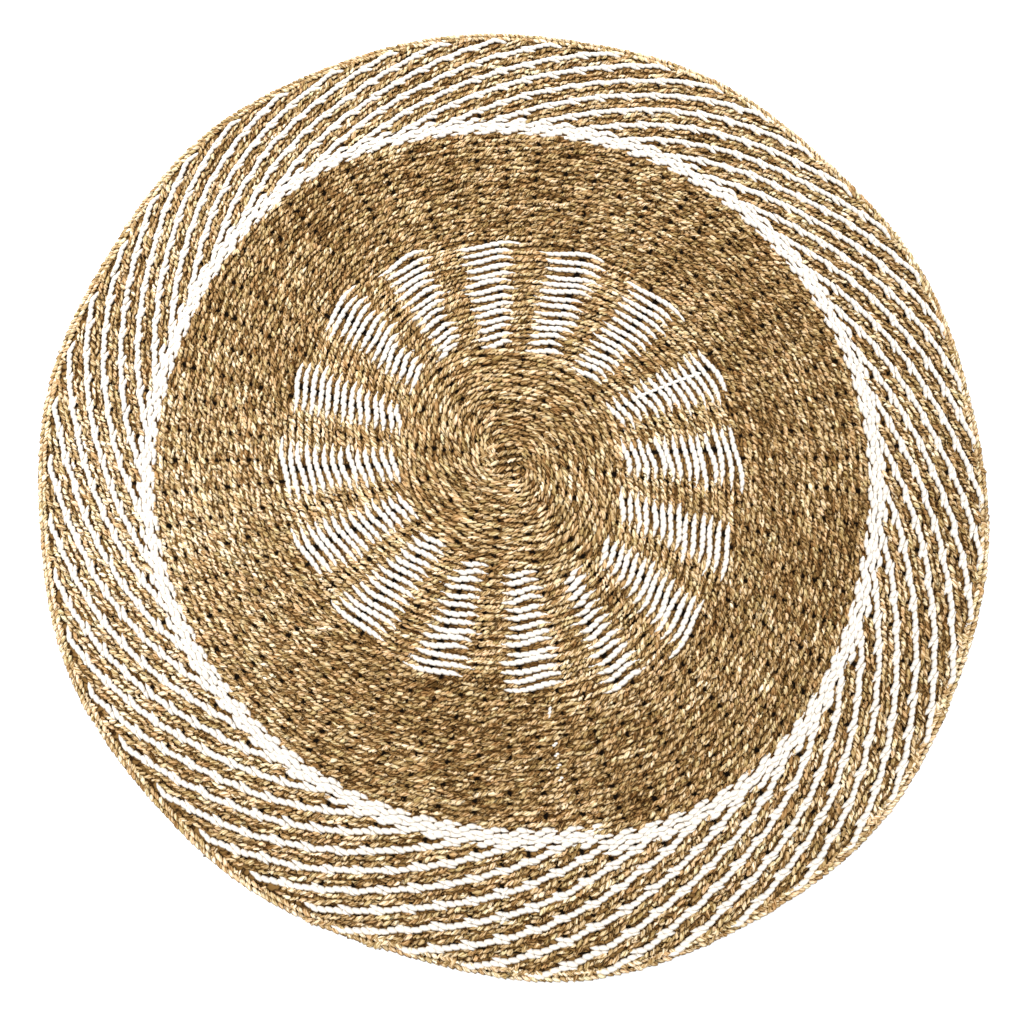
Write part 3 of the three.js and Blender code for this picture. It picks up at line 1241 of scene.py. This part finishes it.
white_paths, grass_paths = [], []
for ray, following in zip(RAYS, RAYS[1:] + RAYS[:1]):
    white_paths.append(white_of_ray(ray))
    grass_paths.append(grass_after_ray(ray, following))
grass_paths = np.concatenate(grass_paths)
white_paths = np.concatenate(white_paths)
ray_grass = lay_cords(
    "ray_cords_grass", grass_paths, grass_cord, SEAGRASS, seed=24, paler=BETWEEN_RAYS["paler"]
)
ray_white = lay_cords(
    "ray_cords_white", white_paths, white_cord, BLEACHED, seed=25, spreads=POINTED
)

# %% [markdown]
# ## The border
#
# The border starts with two rows in which both strands are white: the ring. After that one strand
# is grass again. The number of spokes is odd here, 97, so each turn the white strand comes up one
# spoke further on, and the white stretches step outwards into slanting stripes. We could draw the
# stripes as lines, but the odd number makes them by itself, as it does for the weaver.
#
# In the ring a lower white cord fills the gap between its two rows. The grass strand is two cords
# again, an inner and an outer one, and the outer one is a little shorter.

# %% Border
BORDER_DRIFT = 0.7
RING_TURNS = 2
OUTER_TURNS = 1.1
WHITE_STRETCH = {"cover": 0.62, "lane": 0, "dive": 2.6, "slack": 0.7, "curl": 0.7}
RING_FILLER = {"cover": 0.37, "lane": 0.5, "dive": 1, "top": CORD_TOP - 1.6}
INNER_GRASS = {"cover": 0.60, "lane": -0.33}
OUTER_GRASS = {"cover": 0.48, "lane": 0.33}
OUTER_LEAD = 0.08
PALER_BORDER = 0.13
border_start = zone_end["plain"]
border_spokes = SPOKES["border"]
centres = spoke_centres(border_start, zone_end["border"] + OUTER_TURNS, border_spokes)
is_white = (np.arange(len(centres)) % 2 == 0) | (centres < border_start + RING_TURNS)
in_ring = centres < border_start + RING_TURNS - 1


def border_paths(centre, cover, lane, **more):
    """Paths over the border's spokes. cover is a share of the step between two spokes."""
    return over_paths(centre, cover / border_spokes, BORDER_DRIFT, lane, **more)


white_stretches = np.concatenate([
    border_paths(centres[is_white], **WHITE_STRETCH),
    border_paths(centres[in_ring], **RING_FILLER),
])
grass_centres = centres[~is_white]
grass_stretches = np.concatenate([
    border_paths(grass_centres, **INNER_GRASS),
    border_paths(grass_centres + OUTER_LEAD / border_spokes, **OUTER_GRASS),
])
border_grass = lay_cords(
    "border_cords_grass", grass_stretches, grass_cord, SEAGRASS, seed=26, paler=PALER_BORDER
)
border_white = lay_cords(
    "border_cords_white", white_stretches, white_cord, BLEACHED, seed=27, spreads=EVEN
)

# %% [markdown]
# ## Stray white strands
#
# In some places white shows where the pattern has none: a spoke wound with white comes up between
# the plain rows and in the border at the front, and one long strand lies along a ray. They are
# marks of the hand, so we keep them, each a short thin cord of its own. Their places are directions
# in degrees and distances in millimetres from the weave's centre.

# %% Stray strands
WHITE_SPOKES = [
    {"deg": 279.2, "flecks_mm": [312], "length_mm": 8},
    {"deg": 279.2, "flecks_mm": [349, 361, 374, 388], "length_mm": 2},
    {"deg": 265.7, "flecks_mm": [516, 539], "length_mm": 2},
    {"deg": 269.7, "flecks_mm": [508, 535], "length_mm": 8},
    {"deg": 178.3, "flecks_mm": [529], "length_mm": 2},
    {"deg": 181.2, "flecks_mm": [529, 540], "length_mm": 2},
]
LONG_STRAND = {"from_deg": 26.1, "from_mm": 179, "to_deg": 24.7, "to_mm": 265}
FLECK_LEAN_DEG = 0.4
STRAY_POINTS = 9
STRAY_HEIGHT = {"ends": 8.8, "rise": 0.8}
stray_cord = twisted_cord("stray_ply", half_twist=5, ply_radius=2.1, off_axis=0.6)


def stray_path(from_deg, from_mm, to_deg, to_mm):
    along = np.linspace(0, 1, STRAY_POINTS)
    radius = from_mm + (to_mm - from_mm) * along
    angle = np.radians(from_deg + (to_deg - from_deg) * along)
    height = STRAY_HEIGHT["ends"] + STRAY_HEIGHT["rise"] * np.sin(np.pi * along)
    return placed(radius, angle, height)


stray_paths = [stray_path(**LONG_STRAND)]
for spoke in WHITE_SPOKES:
    half = spoke["length_mm"] / 2
    for middle in spoke["flecks_mm"]:
        leaning_deg = spoke["deg"] - FLECK_LEAN_DEG
        stray_paths.append(stray_path(spoke["deg"], middle - half, leaning_deg, middle + half))
strays = lay_cords(
    "white_strays", np.stack(stray_paths), stray_cord, BLEACHED, seed=30, spreads=EVEN
)

# %% [markdown]
# ## The edge
#
# At the rim the spokes are bent over and plaited in. From above that reads as a stout rope round
# the rug, with the spokes' cut ends across it. Three rounds of cord, one behind another down the
# side of the rim, give the rope its thickness, and two short tufts for each spoke stand for the
# ends. Insets and places are in millimetres inside the rim.

# %% Edge
EDGE_ROUNDS = [
    {"inset": 7.2, "height": 6.2},
    {"inset": 1.8, "height": 5.4},
    {"inset": 1.6, "height": 4.2},
]
EDGE_POINTS = 721
TUFT_POINTS = 5
TUFT_SIDE = {"mean": 2.4, "spread": 0.8, "opening": 0.7}
TUFT_START = {"mean": 7.5, "spread": 1.2}
TUFT_FINISH = {"mean": 3, "spread": 0.8}
TUFT_HEIGHT = {"start": 6.8, "rise": 0.8, "fall": 2.0}
TUFT_FALL_POWER = 3
PALER_EDGE = 0.2
edge_cord = twisted_cord("edge_ply", half_twist=8.5, ply_radius=2.7, off_axis=1.0)
tuft_cord = twisted_cord("tuft_ply", half_twist=6, ply_radius=1.9, off_axis=0.5)


def edge_rounds():
    angle = direction_at(np.linspace(0, 1, EDGE_POINTS))
    rounds = []
    for item in EDGE_ROUNDS:
        radius = uneven_radius(np.full_like(angle, RUG_RADIUS - item["inset"]), angle)
        rounds.append(placed(radius, angle, item["height"]))
    return np.stack(rounds)


def about(mean, amount):
    """A number for each spoke of the border, near the mean."""
    return mean + amount * random.standard_normal((border_spokes, 1))


def tufts():
    """The spokes' ends: two tufts each, that lie outwards over the edge."""
    centre = (np.arange(border_spokes) + 0.5) / border_spokes
    along = np.linspace(0, 1, TUFT_POINTS)
    rise = TUFT_HEIGHT["rise"] * np.sin(np.pi * along)
    height = TUFT_HEIGHT["start"] + rise - TUFT_HEIGHT["fall"] * along ** TUFT_FALL_POWER
    ends = []
    for side in (-1, 1):
        aside = about(side * TUFT_SIDE["mean"], TUFT_SIDE["spread"])
        start = about(TUFT_START["mean"], TUFT_START["spread"])
        finish = about(TUFT_FINISH["mean"], TUFT_FINISH["spread"])
        radius = RUG_RADIUS - start + (start - finish) * along
        opened = aside * (1 + TUFT_SIDE["opening"] * along) / RUG_RADIUS
        angle = direction_at(centre)[:, None] + opened
        ends.append(placed(uneven_radius(radius, angle), angle, height))
    return np.concatenate(ends)


edge_cords = lay_cords(
    "edge_cords", edge_rounds(), edge_cord, SEAGRASS, seed=28, spreads=LAID, paler=PALER_EDGE
)
edge_tufts = lay_cords(
    "edge_tufts", tufts(), tuft_cord, SEAGRASS, seed=29, spreads=LAID, paler=PALER_EDGE
)
for cord in (grass_cord, middle_cord, white_cord, edge_cord, tuft_cord, stray_cord):
    bpy.data.objects.remove(cord["ply"])

# %% [markdown]
# ## The pieces on the rug's body
#
# Every piece lies still on the rug's one body and stands for the one woven solid.

# %% Bodies of the pieces
grass_pieces = [
    ground, middle_cords, inner_cords, outer_cords, ray_grass, border_grass, edge_cords, edge_tufts
]
white_pieces = [ray_white, border_white, strays]
pieces = grass_pieces + white_pieces
for piece in pieces:
    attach(piece, "root")
    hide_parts(NODE)
print("triangles in all:", sum(triangle_count(piece) for piece in pieces))

# %% [markdown]
# ## Floor, light and camera
#
# The photograph has a plain white ground. A large pale floor gives that, and it takes the rug's own
# soft shadow. It is staging, not a part of the rug.

# %% Floor
FLOOR_HALF = 6.0
FLOOR_WHITE = 0.9
floor_mesh = bpy.data.meshes.new("floor")
corners = [(x * FLOOR_HALF, y * FLOOR_HALF, 0) for x, y in [(-1, -1), (1, -1), (1, 1), (-1, 1)]]
floor_mesh.from_pydata(corners, [], [(0, 1, 2, 3)])
floor = bpy.data.objects.new("floor", floor_mesh)
bpy.context.scene.collection.objects.link(floor)
pale, pale_start = shader_tree("pale floor")
pale_shader = pale_start.add(
    "ShaderNodeBsdfPrincipled",
    None,
    {"Base Color": (FLOOR_WHITE, FLOOR_WHITE, FLOOR_WHITE, 1), "Roughness": 0.9},
)
pale_start.add("ShaderNodeOutputMaterial", None, {"Surface": pale_shader})
floor_mesh.materials.append(pale)
print("the floor is", 2 * FLOOR_HALF, "m wide")

# %% [markdown]
# The photograph was taken in soft light from all round, with a little more of it from above and
# behind. A white world and one large lamp do the same. The lamp looks at the rug's middle. The
# standard view keeps white cord as white as it was seen.

# %% Light
WORLD_STRENGTH = 0.95
LAMP_PLACE = (-0.45, 0.5, 2.6)
LAMP_SIZE = 1.2
LAMP_POWER = 90
world = bpy.data.worlds.new("studio")
bpy.context.scene.world = world
world.use_nodes = True
world.node_tree.nodes["Background"].inputs["Color"].default_value = (1, 1, 1, 1)
world.node_tree.nodes["Background"].inputs["Strength"].default_value = WORLD_STRENGTH
lamp_data = bpy.data.lights.new("overhead", "AREA")
lamp_data.size = LAMP_SIZE
lamp_data.energy = LAMP_POWER
lamp = bpy.data.objects.new("overhead", lamp_data)
lamp.location = LAMP_PLACE
to_rug = -np.array(LAMP_PLACE)
lamp_pitch = math.acos(-to_rug[2] / np.linalg.norm(to_rug))
lamp.rotation_euler = (lamp_pitch, 0, math.atan2(to_rug[0], -to_rug[1]))
bpy.context.scene.collection.objects.link(lamp)
bpy.context.scene.view_settings.view_transform = "Standard"
print("the lamp tips by", round(math.degrees(lamp_pitch)), "degrees")

# %% [markdown]
# The camera hangs over the rug, in front of its middle, and tilts a few degrees towards its far
# side, as in the photograph. Its place is in millimetres from the weave's centre.

# %% Camera
CAMERA_TILT_DEG = 11
CAMERA_FIELD_DEG = 60.4
CAMERA_SENSOR = 36
FROM_WEAVE_CENTRE = {"right": 4.4, "ahead": -274.3, "up": 1069.9}
camera_data = bpy.data.cameras.new("camera")
camera_data.sensor_width = CAMERA_SENSOR
camera_data.angle = math.radians(CAMERA_FIELD_DEG)
camera = bpy.data.objects.new("camera", camera_data)
camera.location = (
    (FROM_WEAVE_CENTRE["right"] - outline_middle[0]) * MM,
    (FROM_WEAVE_CENTRE["ahead"] - outline_middle[1]) * MM,
    FROM_WEAVE_CENTRE["up"] * MM,
)
camera.rotation_euler = (math.radians(CAMERA_TILT_DEG), 0, 0)
bpy.context.scene.collection.objects.link(camera)
bpy.context.scene.camera = camera
print("the camera is at", [round(v, 3) for v in camera.location], "m")
